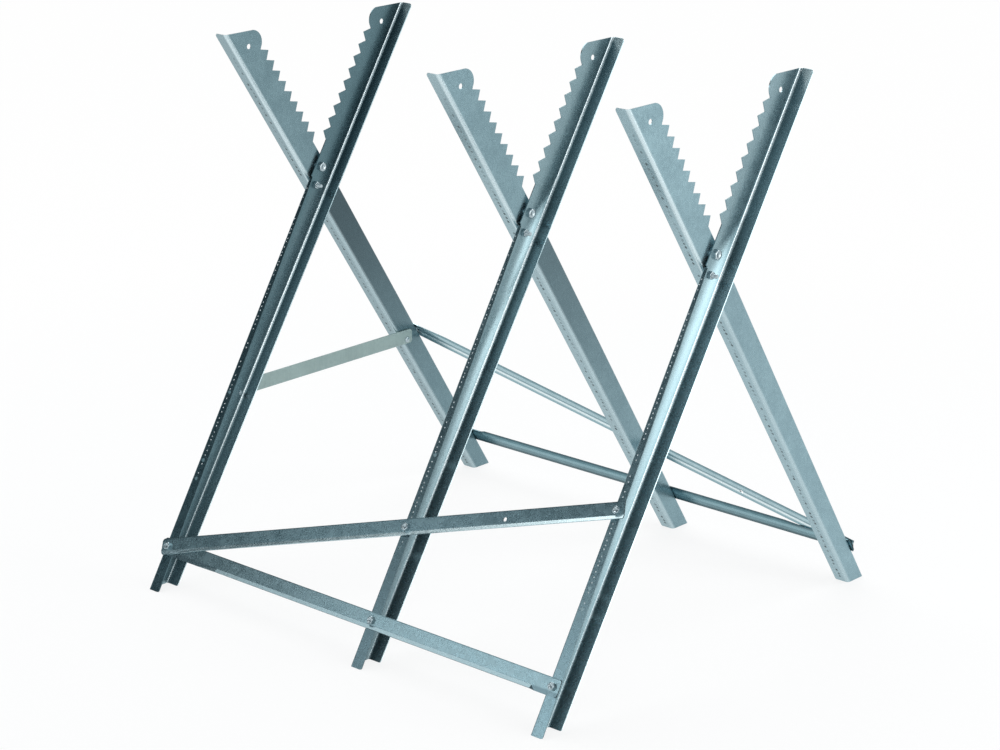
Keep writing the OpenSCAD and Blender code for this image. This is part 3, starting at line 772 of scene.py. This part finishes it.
pivotBolt = {
    "radius": 4.0, "length": 16.5, "plain": 7.5, "pitch": 1.25, "endCut": 1.1,
    "across": 13.0, "head": 4.4, "dishShare": 0.62, "dishDeep": 0.7,
}
pivotNut = {"across": 13.0, "high": 6.5, "bore": 4.05, "flare": 0.45}
guide = {
    "drop": 28.9, "off": 2.6, "radius": 3.0, "headRadius": 6.0, "head": 2.6, "reach": 13.0,
    "pitch": 1.0, "endCut": 0.9, "round": 0.8,
}
webFace, webBack = stand["webFace"], stand["webBack"]
alongX = np.array([[0.0, 1.0, 0.0], [0.0, 0.0, 1.0], [1.0, 0.0, 0.0]])
legAxes = np.array([upLeg, toV, [1.0, 0.0, 0.0]])
for side, x in stand["frames"].items():
    pivot = np.array([x, 0.0, stand["pivotHeight"]])
    head = hexBolt(pivotBolt) + np.array([0.0, 0.0, webBack])
    headSkin = skin(carried(head, pivot, alongX))
    addPiece("pivot_hex_" + side, "front_frame", [headSkin], zinc, ["pivot_bolt_" + side])
    lower = hexNut(pivotNut) - np.array([0.0, 0.0, webBack + pivotNut["high"]])
    lowerSkin = skin(carried(lower, pivot, alongX), True)
    addPiece("pivot_lock_" + side, "front_frame", [lowerSkin], zinc, ["pivot_nut_" + side])

    place = pivot - guide["drop"] * upLeg - guide["off"] * toV
    top = webBack + guide["reach"]
    stem = upsideDown(threadRings(guide["radius"], -top, -webBack, guide["pitch"], guide["endCut"]))
    under = upsideDown(domeRings(guide["headRadius"], -webFace, guide["head"] - webFace, guide["round"]))
    rings = under + [ring(guide["headRadius"], webFace), ring(guide["radius"], webFace)] + stem
    stemSkin = skin(carried(np.array(rings), place, legAxes))
    addPiece("guide_stem_" + side, "front_frame", [stemSkin], zinc, ["guide_bolt_" + side])
    lock = hexNut(braceNut) + np.array([0.0, 0.0, webBack])
    lockSkin = skin(carried(lock, place, legAxes), True)
    addPiece("guide_lock_" + side, "front_frame", [lockSkin], zinc, ["guide_nut_" + side])
print("pivot and guide fasteners made")

strapPins = {
    "drop": 362.3, "off": 19.3, "radius": 3.0, "headRadius": 4.8, "head": 2.0, "round": 0.85,
    "knobRadius": 4.0, "knob": 3.0, "knobRound": 0.5, "face": 1.0, "play": 0.2,
}
fore = -strapPins["drop"] * upLeg - strapPins["off"] * toV    # from the pivot to the pin's place on a leg
leftPivot = np.array([stand["frames"]["left"], 0.0, stand["pivotHeight"]])
pinR, headR, knobR = strapPins["radius"], strapPins["headRadius"], strapPins["knobRadius"]
strapFace = strapPins["face"]

# the rivet has a head behind the rear web, a collar between the web and the strap, and a head past it
rings = upsideDown(domeRings(headR, webBack, webBack + strapPins["head"], strapPins["round"]))
rings += [ring(headR, -webBack), ring(pinR, -webBack), ring(pinR, -webFace), ring(headR, -webFace)]
rings += [ring(headR, -strapFace), ring(pinR, -strapFace), ring(pinR, strapFace), ring(headR, strapFace)]
rings += domeRings(headR, strapFace, strapFace + strapPins["head"], strapPins["round"])
rivetSkin = skin(carried(np.array(rings), fore * np.array([1.0, -1.0, 1.0]) + leftPivot, alongX))
addPiece("strap_rivet_turned", "rear_frame", [rivetSkin], zinc, ["strap_rivet"])

# the stud has a head past the strap, a collar against the front web and a knob on its other side
catch = strapFace + strapPins["play"]
rings = upsideDown(domeRings(headR, catch, catch + strapPins["head"], strapPins["round"]))
rings += [ring(headR, -catch), ring(pinR, -catch), ring(pinR, catch), ring(headR, catch)]
rings += [ring(headR, webFace), ring(pinR, webFace), ring(pinR, webBack), ring(knobR, webBack)]
rings += domeRings(knobR, webBack, webBack + strapPins["knob"], strapPins["knobRound"])
studSkin = skin(carried(np.array(rings), fore + leftPivot, alongX))
addPiece("strap_stud_turned", "front_frame", [studSkin], zinc, ["strap_stud"])
print("strap fasteners made")

studio = {
    "white": (1.0, 1.0, 1.0, 1.0),
    "floorHalf": 8.0,
    "floorDrop": 0.0005,
    "floorColour": (0.84, 0.87, 0.88, 1.0),
    "floorRough": 0.9,
    "floorNear": 0.84,
    "floorFar": 0.99,
    "shadowFrom": 0.7,
    "shadowTo": 2.0,
    "wallTop": 0.3,
    "wallFade": 0.2,
    "skyPole": (-0.647, -0.584, 0.495),
    "skyFrom": -0.2,
    "skyFull": 0.95,
    "skyDark": (0.03, 0.062, 0.075, 1.0),
    "skyLight": (0.42, 0.48, 0.51, 1.0),
    "lampColour": (1.0, 0.95, 0.93),
    "lamps": {
        "overhead": {"at": (-1.2, 0.3, 2.8), "to": (-0.2, 0.0, 0.2), "size": (3.0, 2.4), "glow": 3.1},
        "front_left": {
            "at": (-1.15, -2.1, 1.08), "to": (-0.75, 0.0, 0.6), "size": (1.2, 0.45), "glow": 2.8,
            "colour": (0.92, 0.97, 1.0),
        },
        "back_wash": {"at": (2.0, 2.2, 2.4), "to": (2.0, 2.21, 0.0), "size": (2.0, 2.0), "glow": 3.5},
        "front_fill": {"at": (1.0, -2.3, 1.85), "to": (0.35, -0.25, 0.3), "size": (2.2, 1.3), "glow": 1.6},
        "right_side": {"at": (2.5, 0.3, 0.8), "to": (0.38, 0.05, 0.5), "size": (2.1, 1.7), "glow": 2.5},
    },
}


# one for the rays that see the background, straight or in metal or glass
def shownRays(bench):
    straight, mirrored, passed = (
        bench.node("ShaderNodeLightPath", None, None, kind)
        for kind in ("Is Camera Ray", "Is Glossy Ray", "Is Transmission Ray")
    )
    return bench.math("MAXIMUM", straight, bench.math("MAXIMUM", mirrored, passed))


half, floorZ = studio["floorHalf"], -studio["floorDrop"]
floorMesh = bpy.data.meshes.new("floor")
corners = [(-half, -half, floorZ), (half, -half, floorZ), (half, half, floorZ), (-half, half, floorZ)]
floorMesh.from_pydata(corners, [], [(0, 1, 2, 3)])
floor = bpy.data.objects.new("floor", floorMesh)
bpy.context.scene.collection.objects.link(floor)
paper, bench, shader = newMaterial("paper")
shader.inputs["Base Color"].default_value = studio["floorColour"]
shader.inputs["Roughness"].default_value = studio["floorRough"]
shader.inputs["Specular IOR Level"].default_value = 0.0
place = bench.node("ShaderNodeTexCoord", None, None, "Object")
away = bench.dot(place, place) ** 0.5
white = bench.spread(away, studio["shadowFrom"], studio["shadowTo"], studio["floorNear"], studio["floorFar"])
seen = shownRays(bench) * white
glow = bench.node("ShaderNodeEmission", None, {"Color": studio["white"], "Strength": 1.0})
mixed = bench.node("ShaderNodeMixShader", None, {0: seen, 1: Wire(bench, shader.outputs[0]), 2: glow})
bench.feed(bench.tree.nodes["Material Output"].inputs["Surface"], mixed)
floorMesh.materials.append(paper)

# the sky darkens towards its pole, and is white near the floor for the rays that see it
world = bpy.data.worlds.new("studio")
bpy.context.scene.world = world
world.use_nodes = True
bench = Bench(world.node_tree)
direction = bench.node("ShaderNodeTexCoord", None, None, "Generated")
towardsPole = bench.dot(direction, studio["skyPole"])
share = bench.spread(towardsPole, studio["skyFrom"], studio["skyFull"])
sky = bench.mix(share, studio["skyLight"], studio["skyDark"])
rise = bench.dot(direction, upright)
wall = bench.spread(rise, studio["wallTop"], studio["wallTop"] - studio["wallFade"])
sky = bench.mix(wall * shownRays(bench), sky, studio["white"])
bench.feed(world.node_tree.nodes["Background"].inputs["Color"], sky)

for name, lamp in studio["lamps"].items():
    data = bpy.data.lights.new(name, "AREA")
    data.shape = "RECTANGLE"
    data.size, data.size_y = lamp["size"]
    data.energy = lamp["glow"] * math.pi * lamp["size"][0] * lamp["size"][1]
    data.color = lamp.get("colour", studio["lampColour"])
    made = bpy.data.objects.new(name, data)
    made.location = lamp["at"]
    aim = np.array(lamp["to"]) - np.array(lamp["at"])
    flatReach = math.hypot(aim[0], aim[1])
    made.rotation_euler = (math.atan2(flatReach, -aim[2]), 0.0, math.atan2(-aim[0], aim[1]))
    made.visible_camera = False
    bpy.context.scene.collection.objects.link(made)

view = {
    "azimuth": 42.76,
    "elevation": 17.75,
    "roll": -0.37,
    "distance": 4.111,
    "target": (-0.012, 0.0, 0.321),
    "focalPixels": 2826.0,
    "pictureWidth": 1000.0,
    "sensor": 36.0,    # in mm, as the lens is
    "farthest": 50.0,
}
camera = bpy.data.cameras.new("view")
camera.sensor_width = view["sensor"]
camera.lens = view["focalPixels"] / view["pictureWidth"] * view["sensor"]
camera.clip_end = view["farthest"]
eye = bpy.data.objects.new("view", camera)
azimuth, elevation, roll = (math.radians(view[key]) for key in ("azimuth", "elevation", "roll"))
flat = math.cos(elevation)
back = np.array([flat * math.sin(azimuth), -flat * math.cos(azimuth), math.sin(elevation)])
level = np.array([math.cos(azimuth), math.sin(azimuth), 0.0])
upward = np.cross(back, level)
rightward = math.cos(roll) * level + math.sin(roll) * upward
upward = math.cos(roll) * upward - math.sin(roll) * level
spot = np.array(view["target"]) + view["distance"] * back
pose = np.eye(4)
pose[:3] = np.stack([rightward, upward, back, spot], -1)
eye.matrix_world = Matrix(pose.tolist())
bpy.context.scene.collection.objects.link(eye)
bpy.context.scene.camera = eye
bpy.context.scene.view_settings.view_transform = "Standard"
print("studio set")
